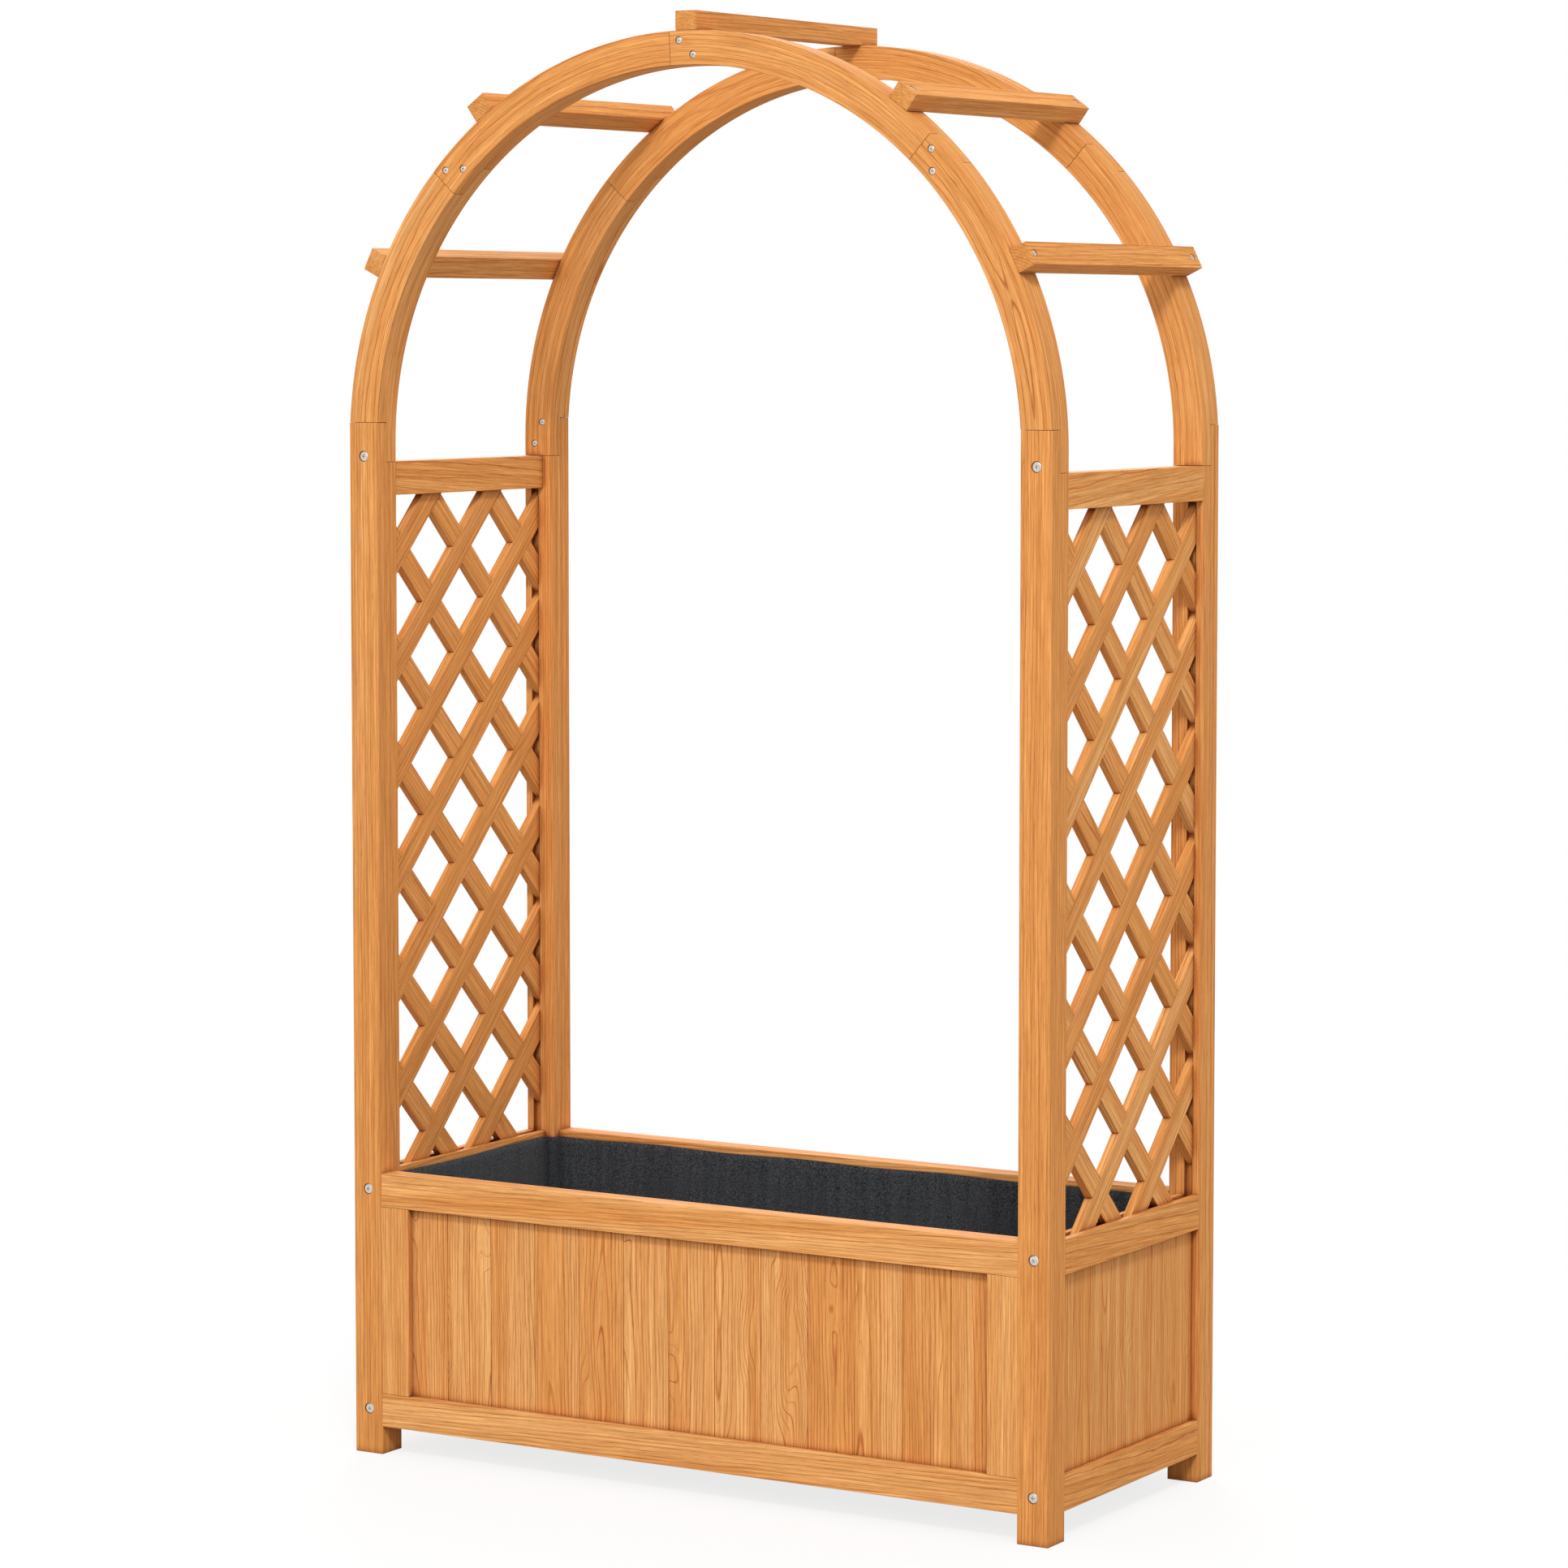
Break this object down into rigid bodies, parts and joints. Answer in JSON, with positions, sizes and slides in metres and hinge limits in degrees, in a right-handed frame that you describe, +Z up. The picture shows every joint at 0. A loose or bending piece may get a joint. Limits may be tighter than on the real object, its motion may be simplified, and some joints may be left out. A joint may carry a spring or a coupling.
{
  "type": "planter with trellis arch",
  "caption": "Wooden planter box with a fabric liner, lattice trellis panels at both ends and a round double arch with cross slats, for climbing plants.",
  "frame": {"origin": "on the ground, in the middle under the planter box", "axes": "+X to the right along the long side, +Y to the back, +Z up"},
  "size_m": [0.92, 0.4, 1.6656],
  "materials": {
    "wood": "planed softwood, oiled, matt",
    "steel": "zinc plated, plain",
    "liner_fabric": "non-woven, matt, speckled"
  },
  "bodies": {
    "root": {"post_front_left": "wood", "post_front_right": "wood", "post_back_left": "wood", "post_back_right": "wood", "front_arch_1": "wood", "front_arch_2": "wood", "front_arch_3": "wood", "front_arch_4": "wood", "back_arch_1": "wood", "back_arch_2": "wood", "back_arch_3": "wood", "back_arch_4": "wood", "cross_slat_1": "wood", "cross_slat_2": "wood", "cross_slat_3": "wood", "cross_slat_4": "wood", "cross_slat_5": "wood", "trellis_rail_left": "wood", "trellis_rail_right": "wood", "front_top_rail": "wood", "front_bottom_rail": "wood", "back_top_rail": "wood", "back_bottom_rail": "wood", "left_top_rail": "wood", "left_bottom_rail": "wood", "right_top_rail": "wood", "right_bottom_rail": "wood", "front_stile_left": "wood", "front_stile_right": "wood", "back_stile_left": "wood", "back_stile_right": "wood", "front_boards": "wood", "back_boards": "wood", "left_boards": "wood", "right_boards": "wood", "left_laths_rising": "wood", "left_laths_falling": "wood", "right_laths_rising": "wood", "right_laths_falling": "wood", "floor_cleats": "wood", "floor_boards": "wood", "liner": "liner_fabric", "frame_bolts": "steel", "lap_bolts": "steel", "post_lap_screws": "steel", "arch_screws": "steel", "slat_screws": "steel", "cleat_screws": "steel", "floor_screws": "steel"}
  },
  "joints": []
}
